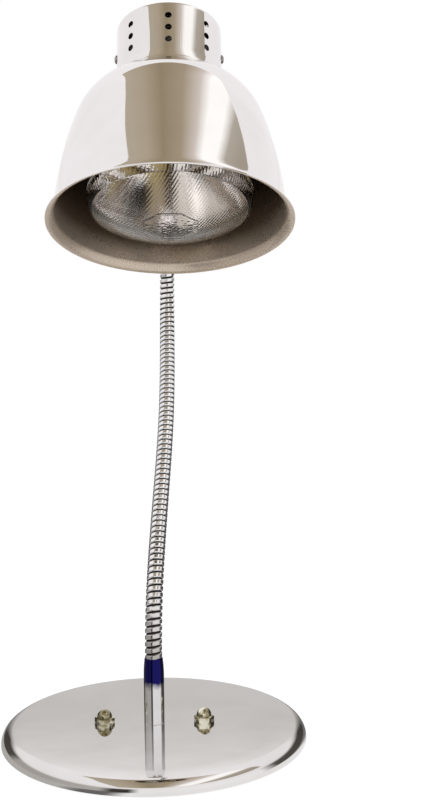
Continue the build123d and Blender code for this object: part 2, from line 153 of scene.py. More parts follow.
def glow(tree, color, strength=1.0, kind="ShaderNodeEmission"):
    """Light of a colour."""
    return add_node(tree, kind, {"Color": color, "Strength": strength})[0]


def mixed_light(tree, factor, one, other):
    """Two shaders, mixed."""
    return add_node(tree, "ShaderNodeMixShader", {"Fac": factor, 1: one, 2: other})[0]


def for_rays(tree, shader, others):
    """A shader, and what some kinds of rays find instead of it."""
    rays = add_node(tree, "ShaderNodeLightPath")
    for kind, other in others:
        shader = mixed_light(tree, rays[kind], shader, other)
    return shader


def new_group(name, kind, inputs, outputs):
    """A node group, with its inputs as kinds or first values and its outputs as kinds."""
    group = bpy.data.node_groups.new(name, kind)
    for title, given in inputs.items():
        made = group.interface.new_socket(title, in_out="INPUT", socket_type="NodeSocket" + {
            int: "Int", float: "Float"}.get(type(given), given))
        if not isinstance(given, str):
            made.default_value = given
    for title, kind in outputs.items():
        group.interface.new_socket(title, in_out="OUTPUT", socket_type="NodeSocket" + kind)
    return group, add_node(group, "NodeGroupInput")


sectors, sectors_in = new_group("Room Round The Counter", "ShaderNodeTree", {
    "Direction": "Vector"}, {"Color": "Color"})
sectors_axes = axes(sectors, sectors_in["Direction"])
sectors_turn = math_node(
    sectors, "ARCTAN2", sectors_axes["X"], math_node(sectors, "MULTIPLY", sectors_axes["Y"], -1.0))
sectors_share = value_map(sectors, sectors_turn, -pi, pi)
add_node(sectors, "NodeGroupOutput", {"Color": color_band(sectors, sectors_share, [
    (4.5, 66, 65, 64), (9, 6, 5.5, 5), (16.5, 9, 8, 7), (19, 42, 40, 38), (40, 50, 48, 46),
    (42.5, 5, 4.5, 4), (45.5, 5, 4.5, 4), (47.5, 100, 100, 100), (72, 100, 100, 100),
    (76, 10, 9, 8), (91.5, 6, 5.5, 5), (95.5, 66, 65, 64)])})


def sector_color(tree, way):
    """What stands round the counter that way."""
    return add_node(tree, "ShaderNodeGroup", {"Direction": way}, node_tree=sectors)["Color"]


world = bpy.data.worlds.new("white room")
bpy.context.scene.world = world
world.use_nodes = True
room = world.node_tree
room.nodes.clear()
room_way = add_node(room, "ShaderNodeTexCoord")["Generated"]
room_height = axes(room, room_way)["Z"]
room_color = color_band(room, value_map(room, room_height, -0.3, 0.9), [
    (0, 70, 68, 67), (30, 80, 78, 78), (45, 96, 94, 96), (100, 100, 98, 100)])
room_mirrored = mixed(room, value_map(room, room_height, 0.06, 0.12, 1.0, 0.0),
                      room_color, sector_color(room, room_way))

# Through glass the room is three bands of ragged patches, one above the other.
room_noise = noise(room, room_way, 9.0, 3.0, 0.6)["Color"]
room_ragged = axes(room, vector_node(
    room, "MULTIPLY_ADD", room_noise, (0.30, 0.0, 0.24), room_way))
room_share = value_map(room, room_ragged["X"], -0.85, 1.15)
lowest_patches = color_band(room, room_share, [
    (15, 20, 19, 17), (21, 12, 11, 10), (24, 100, 97, 92), (38, 70, 68, 63), (43, 25, 22, 18),
    (46, 3, 2.2, 1.4), (54, 3, 2.2, 1.4), (59, 22, 17, 8), (76, 40, 33, 17), (82, 28, 24, 14),
    (86, 100, 97, 92), (96, 90, 87, 82)])
middle_patches = color_band(room, room_share, [
    (8, 55, 52, 47), (14, 100, 96, 90), (21, 100, 96, 90), (26, 48, 45, 40), (38, 62, 59, 53),
    (44, 30, 27, 22), (47, 3.5, 2.7, 2), (52, 3.5, 2.7, 2), (56, 24, 19, 13), (75.5, 28, 23, 15),
    (79, 0.6, 0.4, 0.3), (92.5, 0.6, 0.4, 0.3), (97, 16, 14, 12)])
highest_patches = color_band(room, room_share, [
    (10, 40, 37, 33), (22, 90, 86, 80), (32, 50, 47, 43), (44, 50, 46, 43), (52, 100, 97, 97),
    (62, 90, 86, 86), (68, 16, 13, 12), (90, 20, 17, 15)])
room_lower = mixed(room, value_map(room, room_ragged["Z"], -0.25, -0.20),
                   lowest_patches, middle_patches)
room_patches = mixed(room, value_map(room, room_ragged["Z"], -0.02, 0.06),
                     room_lower, highest_patches)
backdrop = partial(glow, room, kind="ShaderNodeBackground")
add_node(room, "ShaderNodeOutputWorld", {"Surface": for_rays(
    room, backdrop((0.95, 0.97, 1, 1), 0.55), [
        ("Is Glossy Ray", backdrop(room_mirrored)),
        ("Is Transmission Ray", backdrop(room_patches, 1.2)),
        ("Is Camera Ray", backdrop((1, 1, 1, 1)))])})


def stage_piece(name, paint_name, corners, faces, unseen_by):
    """A piece of the studio that some rays don't meet: its paint's tree and coordinates."""
    sheet = bpy.data.meshes.new(name)
    sheet.from_pydata(corners, [], faces)
    made = add_object(name, sheet)
    for kind in unseen_by:
        setattr(made, "visible_" + kind, False)
    paint = bpy.data.materials.new(paint_name)
    paint.use_nodes = True
    paint.node_tree.nodes.clear()
    sheet.materials.append(paint)
    return paint.node_tree, add_node(paint.node_tree, "ShaderNodeTexCoord")["Object"]


floor_reach = 6
floor_level = -0.0003
floor_corners = [(floor_reach * x, floor_reach * y, floor_level)
                 for x, y in ((-1, -1), (1, -1), (1, 1), (-1, 1))]
floor_tree, floor_place = stage_piece("floor", "white floor", floor_corners, [(0, 1, 2, 3)], ())
floor_grain = add_node(floor_tree, "ShaderNodeTexNoise", {"Scale": 3.0, "Detail": 3.0})["Fac"]
floor_matt = add_node(floor_tree, "ShaderNodeBsdfDiffuse", {
    "Color": color_band(floor_tree, floor_grain, [
        (30, 86, 86, 86), (70, 90, 90, 90)])})[0]
floor_seen = mixed_light(floor_tree, 0.80, floor_matt, glow(floor_tree, (1, 1, 1, 1), 1.14))
floor_mirrored = mixed_light(
    floor_tree, 0.85, floor_matt, glow(floor_tree, sector_color(floor_tree, floor_place)))
add_node(floor_tree, "ShaderNodeOutputMaterial", {"Surface": for_rays(floor_tree, floor_matt, [
    ("Is Camera Ray", floor_seen),
    ("Is Glossy Ray", floor_mirrored),
    ("Is Transmission Ray", add_node(floor_tree, "ShaderNodeBsdfTransparent")[0])])})

ceiling_height = 2.0
ceiling_corners = [(x, y, ceiling_height) for x, y in (
    (-1.3, -3.0), (6.0, -3.0), (6.0, -1.0), (4.0, -0.1), (2.6, 0.3), (1.6, 0.53), (0.4, 0.69),
    (-0.84, 0.80), (-0.88, 0.10), (-1.03, -0.60))]
ceiling_tree, ceiling_place = stage_piece(
    "ceiling", "brown ceiling and light panel", ceiling_corners, [range(len(ceiling_corners))],
    ("camera", "diffuse", "shadow"))
ceiling_share = value_map(ceiling_tree, axes(ceiling_tree, ceiling_place)["X"], -0.84, 2.0)
ceiling_color = color_band(ceiling_tree, ceiling_share, [
    (0, 42, 37, 29), (12, 39, 33, 25), (25, 28, 23, 15), (40, 35, 29, 21), (52, 60, 54, 50),
    (60, 100, 99, 98), (74, 100, 99, 98), (84, 42, 38, 33), (100, 35, 31, 26)])
add_node(ceiling_tree, "ShaderNodeOutputMaterial", {
    "Surface": glow(ceiling_tree, ceiling_color, 1.2)})

# A low round wall, which only reflections find, holds the sectors near the base.
counter_radius = 0.9
counter_height = 0.62
counter_sides = 48
counter_corners = [
    (counter_radius * cos(side * tau / counter_sides),
     counter_radius * sin(side * tau / counter_sides), height)
    for height in (0, counter_height) for side in range(counter_sides)]
counter_faces = [(side, after, after + counter_sides, side + counter_sides)
                 for side, after in enumerate([*range(1, counter_sides), 0])]
wall_tree, wall_place = stage_piece(
    "counter_wall", "counter wall", counter_corners, counter_faces,
    ("camera", "diffuse", "transmission", "shadow"))
wall_level = value_map(wall_tree, axes(wall_tree, wall_place)["Z"], 0.30, 0.50,
                       interpolation_type="SMOOTHSTEP")
add_node(wall_tree, "ShaderNodeOutputMaterial", {"Surface": glow(wall_tree, mixed(
    wall_tree, wall_level, sector_color(wall_tree, wall_place), (0.96, 0.94, 0.94, 1)))})


def soft_lamp(name, place, target, size, power):
    """A round area lamp that the camera and reflections don't see."""
    lamp_data = bpy.data.lights.new(name, "AREA")
    lamp_data.shape = "DISK"
    lamp_data.size = size
    lamp_data.energy = power
    lamp = add_object(name, lamp_data)
    lamp.location = place
    lamp.rotation_euler = (Vector(target) - Vector(place)).to_track_quat("-Z", "Y").to_euler()
    lamp.visible_camera = False
    lamp.visible_glossy = False


soft_lamp("key lamp", (-1.1, -1.3, 1.7), (0, 0, 0.25), 0.9, 22)
soft_lamp("fill lamp", (1.5, -1.0, 1.1), (0, 0, 0.3), 1.1, 12)


# Base cover
# A round of stainless sheet, spun over the ballast with a rounded edge and polished to a mirror.
# It is notched at the rear for the lead's grommet.
base_radius = 0.125
base_height = 0.012
base_edge = 0.010
cover_sheet = 0.001
cover_lift = 0.001
notch_radius = 0.00425
notch_height = 0.00625
notch_reach = (0.109, 0.127)
merge_distance = 1e-7
axis_width = 1e-6
same_way = 0.8


def arc_points(center, radius, first_angle, last_angle, steps):
    """Points of an arc in a section, as (distance from the axis, height); angles in degrees."""
    turns = [radians(first_angle + (last_angle - first_angle) * step / steps)
             for step in range(steps + 1)]
    return [(center[0] + radius * cos(turn), center[1] + radius * sin(turn)) for turn in turns]


def smooth_object(name, mesh, sharp_angle):
    """An object shaded smoothly between the edges that are sharper than an angle in degrees."""
    mesh.polygons.foreach_set("use_smooth", [True] * len(mesh.polygons))
    mesh.set_sharp_from_angle(angle=radians(sharp_angle))
    return add_object(name, mesh)


def piece_from(name, shape, sharp_angle=32):
    """An object from a bmesh, with outward normals."""
    bmesh.ops.remove_doubles(shape, verts=shape.verts, dist=merge_distance)
    bmesh.ops.recalc_face_normals(shape, faces=shape.faces)
    made_mesh = bpy.data.meshes.new(name)
    shape.to_mesh(made_mesh)
    shape.free()
    return smooth_object(name, made_mesh, sharp_angle)


def spun(name, outline, seat=Matrix.Identity(4), steps=160, sharp_angle=32):
    """A closed outline of (distance from the axis, height), turned about the seat's Z axis."""
    shape = bmesh.new()
    turns = [tau * step / steps for step in range(steps)]
    rings = []
    for distance, height in outline:
        if distance < axis_width:
            rings.append([shape.verts.new(seat @ Vector((0, 0, height)))] * steps)
        else:
            rings.append([shape.verts.new(seat @ Vector(
                (distance * cos(turn), distance * sin(turn), height))) for turn in turns])
    for low, high in zip(rings, rings[1:] + rings[:1]):
        for step in range(steps):
            after = (step + 1) % steps
            corners = list(dict.fromkeys((low[step], low[after], high[after], high[step])))
            if len(corners) > 2:
                shape.faces.new(corners)
    return piece_from(name, shape, sharp_angle)


def evaluated(piece):
    """A piece as its modifiers make it."""
    bpy.context.view_layer.update()
    return piece.evaluated_get(bpy.context.evaluated_depsgraph_get())


def borrow_normals(cut_piece, whole_piece):
    """Gives a cut sheet the smooth normals that it had before it was cut."""
    modifier = cut_piece.modifiers.new("normals", "DATA_TRANSFER")
    modifier.object = whole_piece
    modifier.use_loop_data = True
    modifier.data_types_loops = {"CUSTOM_NORMAL"}
    modifier.loop_mapping = "POLYINTERP_NEAREST"
    smooth = [tuple(corner.vector) for corner in evaluated(cut_piece).data.corner_normals]
    cut_piece.modifiers.remove(modifier)
    chosen = []
    for face in cut_piece.data.polygons:
        for corner in face.loop_indices:
            kept = Vector(smooth[corner])
            chosen.append(kept if kept.dot(face.normal) > same_way else face.normal.copy())
    cut_piece.data.normals_split_custom_set(chosen)


edge_center = (base_radius - base_edge, base_height - base_edge)
cover_outline = [(0, base_height)]
cover_outline += [(base_radius * share, base_height) for share in (0.3, 0.6, 0.8)]
cover_outline += arc_points(edge_center, base_edge, 90, 0, 14)
cover_outline += [(base_radius, cover_lift), (base_radius - cover_sheet, cover_lift)]
cover_outline += arc_points(edge_center, base_edge - cover_sheet, 0, 90, 10)
cover_outline += [(0, base_height - cover_sheet)]
whole_cover = spun("whole_cover", cover_outline, steps=192)

arch = [(-notch_radius, -cover_lift)]
arch += arc_points((0, notch_height), notch_radius, 180, 0, 24)
arch += [(notch_radius, -cover_lift)]
notch_shape = bmesh.new()
front, back = [[notch_shape.verts.new((across, depth, height)) for across, height in arch]
               for depth in notch_reach]
notch_shape.faces.new(front)
notch_shape.faces.new(back[::-1])
for place in range(len(arch)):
    notch_shape.faces.new([front[place - 1], back[place - 1], back[place], front[place]])
notch_block = piece_from("notch_block", notch_shape)
notching = whole_cover.modifiers.new("notch", "BOOLEAN")
notching.object = notch_block
notching.solver = "EXACT"
cover_mesh = bpy.data.meshes.new_from_object(evaluated(whole_cover))
whole_cover.modifiers.remove(notching)
cover_mesh.name = "base_cover_sheet"
cover = add_object("base_cover_sheet", cover_mesh)
borrow_normals(cover, whole_cover)
bpy.data.objects.remove(whole_cover)
bpy.data.objects.remove(notch_block)
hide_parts("base_cover")
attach(cover, "base")

polish, polish_in = new_group("Buffed Sheet", "ShaderNodeTree", {
    "Vector": "Vector", "Grain Size": "Float",
    "Least Roughness": "Float", "Most Roughness": "Float"},
    {"Roughness": "Float", "Height": "Float", "Smudge": "Float"})
polish_smudge = noise(polish, polish_in["Vector"], 18.0, 4.0, 0.55, Distortion=0.6)["Fac"]
polish_lines = noise(polish, polish_in["Vector"], polish_in["Grain Size"])["Fac"]
polish_wave = noise(polish, polish_in["Vector"], 26.0, 1.0)["Fac"]
add_node(polish, "NodeGroupOutput", {
    "Roughness": value_map(
        polish, math_node(polish, "MULTIPLY", polish_smudge, polish_lines), 0.15, 0.42,
        polish_in["Least Roughness"], polish_in["Most Roughness"]),
    "Height": polish_wave, "Smudge": polish_smudge})


def new_finish(name):
    """A material with its node tree, Principled shader and Object coordinates."""
    finish = bpy.data.materials.new(name)
    finish.use_nodes = True
    tree = finish.node_tree
    place = add_node(tree, "ShaderNodeTexCoord")["Object"]
    return finish, tree, tree.nodes["Principled BSDF"], place


def wear_finish(piece, finish):
    """Puts the finish on all of a piece."""
    piece.data.materials.clear()
    piece.data.materials.append(finish)
    for face in piece.data.polygons:
        face.material_index = 0


def bump(tree, height, distance):
    """Normals pushed about by a height; the distance is in metres."""
    return add_node(tree, "ShaderNodeBump", {
        "Height": height, "Strength": 1.0, "Distance": distance})["Normal"]


def buffing(tree, place, least, most, grain):
    """The marks of buffing, with their roughness range and grain size."""
    return add_node(tree, "ShaderNodeGroup", {
        "Vector": place, "Grain Size": grain,
        "Least Roughness": least, "Most Roughness": most}, node_tree=polish)


def bright_metal(name, light, dark, least, most, grain, wave):
    """Polished metal: two close colours, a roughness range, grain size and waviness in metres."""
    finish, tree, shader, place = new_finish(name)
    marks = buffing(tree, place, least, most, grain)
    feed(tree, shader, {
        "Base Color": color_band(tree, marks["Smudge"], [(35, *light), (70, *dark)]),
        "Roughness": marks["Roughness"],
        "Normal": bump(tree, marks["Height"], wave),
        "Metallic": 1.0})
    return finish


base_steel = bright_metal("mirror stainless", (80, 78, 77), (74, 72, 70), 0.02, 0.07, 900, 0.0002)
wear_finish(cover, base_steel)
wear_finish(nodes["base_cover"], base_steel)


# Ballast plate
# A turned cast-iron disc under the cover, primed dark. It shows only from below, round the pad.
def mottled(name, first, second, scale, values, detail=2.0, ragged=0.5, spread=(30, 70)):
    """A finish whose colour wanders between two, with its tree, its shader and its mottling."""
    finish, tree, shader, place = new_finish(name)
    clouds = noise(tree, place, scale, detail, ragged)["Fac"]
    feed(tree, shader, {
        "Base Color": color_band(tree, clouds, [(spread[0], *first), (spread[1], *second)]),
        **values})
    return finish, tree, shader, clouds


iron, iron_tree, iron_shader, iron_pits = mottled(
    "primed iron", (3.5, 3.5, 3.8), (7.5, 7.2, 7), 420.0,
    {"Roughness": 0.55, "Metallic": 0.6}, 6.0, 0.7)
feed(iron_tree, iron_shader, {"Normal": bump(iron_tree, iron_pits, 0.0002)})
wear_finish(nodes["ballast_plate"], iron)


# Foot pad and grommet
# A disc of non-slip rubber with fine ribs, glued under the ballast, and a smooth rubber bush at
# the rear for the supply lead.
def rubber(name, light, dark, rib_pitch, roughness):
    """Rubber of two close colours, with ribs."""
    finish, tree, shader, speck = mottled(
        name, dark, light, 700.0, {"Roughness": roughness}, 3.0, spread=(35, 65))
    ribs = add_node(tree, "ShaderNodeTexWave", {
        "Vector": add_node(tree, "ShaderNodeTexCoord")["Object"],
        "Scale": 1 / (rib_pitch * 6.28)}, wave_type="BANDS", bands_direction="X")["Fac"]
    feed(tree, shader, {"Normal": bump(tree, math_node(tree, "ADD", ribs, speck), 0.0003)})
    return finish


wear_finish(nodes["foot_pad"], rubber(
    "ribbed pad rubber", (5, 5, 5), (2.5, 2.5, 2.6), 0.002, 0.8))
wear_finish(nodes["cord_grommet"], rubber(
    "grommet rubber", (3.5, 3.5, 3.5), (2, 2, 2), 0.02, 0.5))


# Clamp bolts and acorn nuts
# Two zinc-plated bolts hold the ballast in the cover; their low-crown nuts are lacquered brass,
# a little dented. The same zinc plate is on the studs and their fixings.
def reopened(finish):
    """A finish's tree, shader, present colour and Object coordinates, to work further on."""
    tree = finish.node_tree
    shader = tree.nodes["Principled BSDF"]
    color = shader.inputs["Base Color"].links[0].from_socket
    return tree, shader, color, add_node(tree, "ShaderNodeTexCoord")["Object"]


zinc = bright_metal("zinc plate", (58, 58, 57), (44, 45, 46), 0.28, 0.5, 300, 0.0001)
pale_brass = bright_metal("pale brass", (82, 79, 62), (60, 56, 38), 0.05, 0.14, 500, 0.00012)
brass_tree, brass_shader, brass_plain, brass_place = reopened(pale_brass)
brass_dents = noise(brass_tree, brass_place, 190.0, 0.0)["Fac"]
feed(brass_tree, brass_shader, {
    "Base Color": color_band(brass_tree, brass_dents, [
        (38, 84, 82, 68), (50, 52, 49, 34), (60, 30, 27, 17)]),
    "Normal": bump(brass_tree, brass_dents, 0.0009)})
for hidden in (
        "clamp_bolts", "stem_stud", "stem_washer", "stem_locknut", "end_locknut", "end_stud"):
    wear_finish(nodes[hidden], zinc)
wear_finish(nodes["acorn_nuts"], pale_brass)


# Stem sleeve
# A turned, chromed ferrule over the neck's foot, drawn in at its mouth. Its upper half is coloured
# a deep blue, which fades away downwards and is left out where the ferrule is seen in a reflection.
sleeve_radius = 0.00845
sleeve_mouth_radius = 0.00745
sleeve_length = 0.0546
sleeve_taper = 0.0156
sleeve_bore = 0.00605
sleeve_chamfer = 0.0003
taper_used = 0.97
neck_foot = base_height + sleeve_length
blue_foot = neck_foot - 0.021
blue_fade = 0.006


def sleeve_outline(foot, length, taper):
    """The section of a ferrule whose mouth is drawn in by a long arc, with a rounded lip."""
    inset = sleeve_radius - sleeve_mouth_radius
    arc_radius = (taper ** 2 + inset ** 2) / (2 * inset)
    sweep = degrees(asin(taper / arc_radius))
    outline = [(sleeve_bore, foot), (sleeve_radius - sleeve_chamfer, foot),
               (sleeve_radius, foot + sleeve_chamfer)]
    outline += arc_points(
        (sleeve_radius - arc_radius, foot + length - taper), arc_radius, 0, sweep * taper_used, 12)
    outline += [(sleeve_mouth_radius - sleeve_chamfer, foot + length), (sleeve_bore, foot + length)]
    return outline


sleeve = spun("stem_ferrule", sleeve_outline(base_height, sleeve_length, sleeve_taper), steps=72)
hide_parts("stem_sleeve")
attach(sleeve, "base")

chrome = bright_metal("bright chrome", (86, 86, 87), (78, 78, 80), 0.03, 0.09, 900, 0.00008)
tinted_chrome = chrome.copy()
tinted_chrome.name = "blue-banded chrome"
tint_tree, tint_shader, tint_plain, tint_place = reopened(tinted_chrome)
tint_flow = noise(tint_tree, tint_place, 160.0)["Fac"]
tint_wander = math_node(
    tint_tree, "MULTIPLY_ADD", tint_flow, 0.008, axes(tint_tree, tint_place)["Z"])
# The blue band, kept out of what reflections of the ferrule show.
tint_direct = math_node(
    tint_tree, "SUBTRACT", value_map(tint_tree, tint_wander, blue_foot, blue_foot + blue_fade),
    add_node(tint_tree, "ShaderNodeLightPath")["Is Glossy Ray"], use_clamp=True)
feed(tint_tree, tint_shader, {
    "Base Color": mixed(tint_tree, tint_direct, tint_plain, (0.012, 0.010, 0.10, 1))})
wear_finish(sleeve, tinted_chrome)


# Gooseneck
# A flexible tube, wound right-handed from one steel strip and chromed: broad bright turns with
# narrow grooves between them, painted dark as shade. It is made in lengths that bend one into
# the next.
turn_pitch = 0.0054
turns_per_link = 8
crest_radius = 0.0071
groove_radius = 0.0060
back_bends = (24.5, 17.5, 1.5, 0, 0, 0, 0, -11, -31, -39, -23, -6, -0.9, 0, 0)
right_bends = (2, 1, 0.5, 0, -1, -1.5, -1, 0, 0.75, 1.25, 0.5, -0.5, -0.5, -0.75, -0.75)
steps_per_turn = 24
link_count = len(back_bends)


def neck_direction(turns):
    """Which way the neck runs, so many turns up from its foot."""
    link = min(int(turns / turns_per_link), link_count - 1)
    share = turns / turns_per_link - link
    lean = radians(sum(back_bends[:link]) + back_bends[link] * share)
    side = radians(sum(right_bends[:link]) + right_bends[link] * share)
    return Vector((sin(side), cos(side) * sin(lean), cos(side) * cos(lean)))


neck_line = [Vector((0, 0, neck_foot))]
for step in range(link_count * turns_per_link * steps_per_turn):
    stride = turn_pitch / steps_per_turn
    neck_line.append(neck_line[-1] + stride * neck_direction((step + 0.5) / steps_per_turn))


def end_group(group, title, geometry, finish):
    """Ends a geometry tree: its instances are made real and all of it gets the finish."""
    real = add_node(group, "GeometryNodeRealizeInstances", {"Geometry": geometry})["Geometry"]
    add_node(group, "NodeGroupOutput", {title: add_node(group, "GeometryNodeSetMaterial", {
        "Geometry": real, "Material": finish})["Geometry"]})


winding, wound_in = new_group("Strip Winding", "GeometryNodeTree", {
    "Centerline": "Geometry", "Turn Pitch": turn_pitch, "First Turn": 0.0,
    "Crest Radius": crest_radius, "Groove Radius": groove_radius,
    "Groove Share": 0.10, "Crest Share": 0.50, "Sides": 44,
    "Finish": "Material"}, {"Winding": "Geometry"})
wind_math = partial(math_node, winding)
wind_vector = partial(vector_node, winding)
wound_keep = winding.nodes.new("GeometryNodeCaptureAttribute")
for kind, title in (("VECTOR", "Along"), ("VECTOR", "Center"), ("FLOAT", "Length")):
    wound_keep.capture_items.new(kind, title)
feed(winding, wound_keep, {
    "Geometry": wound_in["Centerline"],
    "Along": add_node(winding, "GeometryNodeInputTangent")[0],
    "Center": add_node(winding, "GeometryNodeInputPosition")[0],
    "Length": add_node(winding, "GeometryNodeSplineParameter")["Length"]})
along = wound_keep.outputs["Along"]
center = wound_keep.outputs["Center"]
wound_circle = add_node(winding, "GeometryNodeCurvePrimitiveCircle", {
    "Resolution": wound_in["Sides"], "Radius": wound_in["Crest Radius"]})["Curve"]
wound_tube = add_node(winding, "GeometryNodeCurveToMesh", {
    "Curve": wound_keep.outputs["Geometry"], "Profile Curve": wound_circle,
    "Fill Caps": True})["Mesh"]

# Where a point lies on the tube: outward from the line, and how far it is turned about it.
outward = wind_vector("NORMALIZE", wind_vector(
    "SUBTRACT", add_node(winding, "GeometryNodeInputPosition")[0], center))
sideways = wind_vector("NORMALIZE", wind_vector("SUBTRACT", (1, 0, 0), wind_vector(
    "SCALE", along, wind_vector("DOT_PRODUCT", along, (1, 0, 0)))))
backwards = wind_vector("CROSS_PRODUCT", along, sideways)
turned = wind_math("ARCTAN2", wind_vector("DOT_PRODUCT", outward, backwards),
                   wind_vector("DOT_PRODUCT", outward, sideways))
wound_up = wind_math("ADD", wind_math(
    "DIVIDE", wound_keep.outputs["Length"], wound_in["Turn Pitch"]), wound_in["First Turn"])
phase = wind_math("FRACT", wind_math("SUBTRACT", wound_up, wind_math("DIVIDE", turned, tau)))
from_groove = wind_math("MINIMUM", phase, wind_math("SUBTRACT", 1.0, phase))
rise = value_map(
    winding, from_groove, wind_math("MULTIPLY", wound_in["Groove Share"], 0.5),
    wind_math("SUBTRACT", 0.5, wind_math("MULTIPLY", wound_in["Crest Share"], 0.5)),
    interpolation_type="SMOOTHSTEP")
wound_radius = value_map(
    winding, rise, 0.0, 1.0, wound_in["Groove Radius"], wound_in["Crest Radius"])
wound_shaped = add_node(winding, "GeometryNodeSetPosition", {
    "Geometry": wound_tube,
    "Position": wind_vector("ADD", center, wind_vector("SCALE", outward, wound_radius))})
wound_marked = add_node(winding, "GeometryNodeStoreNamedAttribute", {
    "Geometry": wound_shaped["Geometry"], "Name": "groove",
    "Value": wind_math("SUBTRACT", 1.0, rise)}, data_type="FLOAT", domain="POINT")
end_group(winding, "Winding", wound_marked["Geometry"], wound_in["Finish"])


def grown(name, source, tree, values, sharp_angle=60):
    """The plain mesh that a geometry tree makes of a source curve or mesh."""
    host = add_object(name + "_source", source)
    modifier = host.modifiers.new("growth", "NODES")
    modifier.node_group = tree
    for item in tree.interface.items_tree:
        if item.in_out == "INPUT" and item.name in values:
            modifier[item.identifier] = values[item.name]
    made_mesh = bpy.data.meshes.new_from_object(evaluated(host))
    made_mesh.name = name
    bpy.data.objects.remove(host)
    return smooth_object(name, made_mesh, sharp_angle)


def line_curve(name, points):
    """A bare line through points, for a geometry tree to follow."""
    route = bpy.data.curves.new(name, "CURVE")
    route.dimensions = "3D"
    spline = route.splines.new("POLY")
    spline.points.add(len(points) - 1)
    for mark, point in zip(spline.points, points):
        mark.co = (*point, 1)
    return route


neck_finish, neck_tree, neck_shader, neck_place = new_finish("chromed strip winding")
neck_marks = buffing(neck_tree, neck_place, 0.05, 0.14, 1400)
neck_groove = add_node(neck_tree, "ShaderNodeAttribute", attribute_name="groove")["Fac"]
# Painted shade: the grooves are coloured near-black, and they are also rougher.
neck_groove_shade = value_map(neck_tree, neck_groove, 0.35, 0.85)
neck_clean = color_band(neck_tree, neck_marks["Smudge"], [
    (35, 88, 88, 88), (70, 80, 80, 81)])
# Painted shade: the chrome is darker low down by the ferrule. A painted reflection of the shade's
# dark inside makes it a little darker just under the head. The smudges are real.
neck_height = value_map(neck_tree, axes(neck_tree, neck_place)["Z"], neck_foot, 0.46)
neck_painted_shade = color_band(neck_tree, neck_height, [
    (0, 50, 48, 46), (5, 72, 70, 69), (14, 100, 100, 100), (89, 100, 100, 100),
    (100, 86, 84, 82)])
neck_smudged_and_shaded = mixed(neck_tree, 1.0, neck_clean, neck_painted_shade, blend_type="MULTIPLY")
feed(neck_tree, neck_shader, {
    "Base Color": mixed(neck_tree, neck_groove_shade, neck_smudged_and_shaded, (0.030, 0.027, 0.025, 1)),
    "Roughness": math_node(neck_tree, "MULTIPLY_ADD", neck_groove_shade, 0.35, neck_marks["Roughness"]),
    "Metallic": 1.0})

# The eighth joint is named apart, but its winding is made as at every other. Across the eighth
# joint they hold only when the two bodies are given from the far end.
reversed_bend = 8
half_link = turns_per_link // 2
for bend in range(1, link_count):
    middle = bend * turns_per_link
    first_turn = 0 if bend == 1 else middle - half_link
    last_turn = link_count * turns_per_link if bend == link_count - 1 else middle + half_link
    stretch = neck_line[first_turn * steps_per_turn:last_turn * steps_per_turn + 1]
    length = grown(
        f"neck_winding_{bend:02d}", line_curve(f"neck_line_{bend:02d}", stretch), winding,
        {"First Turn": float(first_turn), "Finish": neck_finish})
    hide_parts(f"neck_link_{bend:02d}")
    if bend == link_count - 1:
        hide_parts(f"neck_link_{link_count:02d}")
    if bend == reversed_bend:
        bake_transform(length)
    else:
        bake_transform(length)


# Head
# The cap, shade and bulb share one axis, which leans back over the neck's end. Its seat has its
# origin in the middle of the shade's mouth, Z up to the cap and Y back to the neck.
cap_radius = 0.0393
cap_length = 0.0451
cap_base = 0.1143
cap_top = cap_base + cap_length
neck_entry = cap_top - 0.0254
end_sleeve_length = 0.0254
neck_way = neck_direction(link_count * turns_per_link)
head_side = (Vector((1, 0, 0)) - neck_way * neck_way.x).normalized()
head_up = head_side.cross(-neck_way)
head_back = head_up.cross(head_side)
head_origin = (
    neck_line[-1] + neck_way * (end_sleeve_length + cap_radius) - head_up * neck_entry)


def seat_at(origin, *ways):
    """A seat with its origin and the ways of its X, Y and Z."""
    return Matrix.Translation(origin) @ Matrix(ways).transposed().to_4x4()


head = seat_at(head_origin, head_side, head_back, head_up)
neck_seat = seat_at(head_origin + head_up * neck_entry + head_back * cap_radius,
                    head_side, head_up, head_back)


# End sleeve
# The neck's upper ferrule, chromed, with its foot saddled to the round cap. The washer inside
# the cap has the same chrome.
saddle = cap_radius - sqrt(cap_radius ** 2 - sleeve_radius ** 2)
end_sleeve_taper = 0.010
end_sleeve = spun(
    "neck_end_ferrule", sleeve_outline(-saddle, end_sleeve_length + saddle, end_sleeve_taper),
    neck_seat, 72)
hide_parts("neck_end_sleeve")
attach(end_sleeve, "head")
wear_finish(end_sleeve, chrome)
wear_finish(nodes["end_washer"], chrome)


# Shade
# A dome spun from stainless sheet: mirror-polished outside, satin inside, with a flared and
# safely rounded lip, and a low collar that stands up round the cap's foot.
lip_radius = 0.0899
lip = (0.084, 0.0065)
belly = (0.0795, 0.042)
shoulder = (0.0695, 0.080)
dome_sheet = 0.0008
collar_play = 0.00005
collar_radius = cap_radius + collar_play + dome_sheet
collar_top = cap_base + 0.0047
collar_chamfer = 0.0002
corner_start = (collar_radius + 0.0024, cap_base - 0.0036)
satin_depth = 0.06
inward_slope = -0.02


def circle_through(a, b, c):
    """Middle and radius of the circle through three points of a section."""
    (ax, ay), (bx, by), (cx, cy) = a, b, c
    d = 2 * (ax * (by - cy) + bx * (cy - ay) + cx * (ay - by))
    a2, b2, c2 = ax ** 2 + ay ** 2, bx ** 2 + by ** 2, cx ** 2 + cy ** 2
    x = (a2 * (by - cy) + b2 * (cy - ay) + c2 * (ay - by)) / d
    y = (a2 * (cx - bx) + b2 * (ax - cx) + c2 * (bx - ax)) / d
    return (x, y), hypot(ax - x, ay - y)


def heading(start, end):
    """Which way end lies from start in a section, in degrees."""
    return degrees(atan2(end[1] - start[1], end[0] - start[0]))


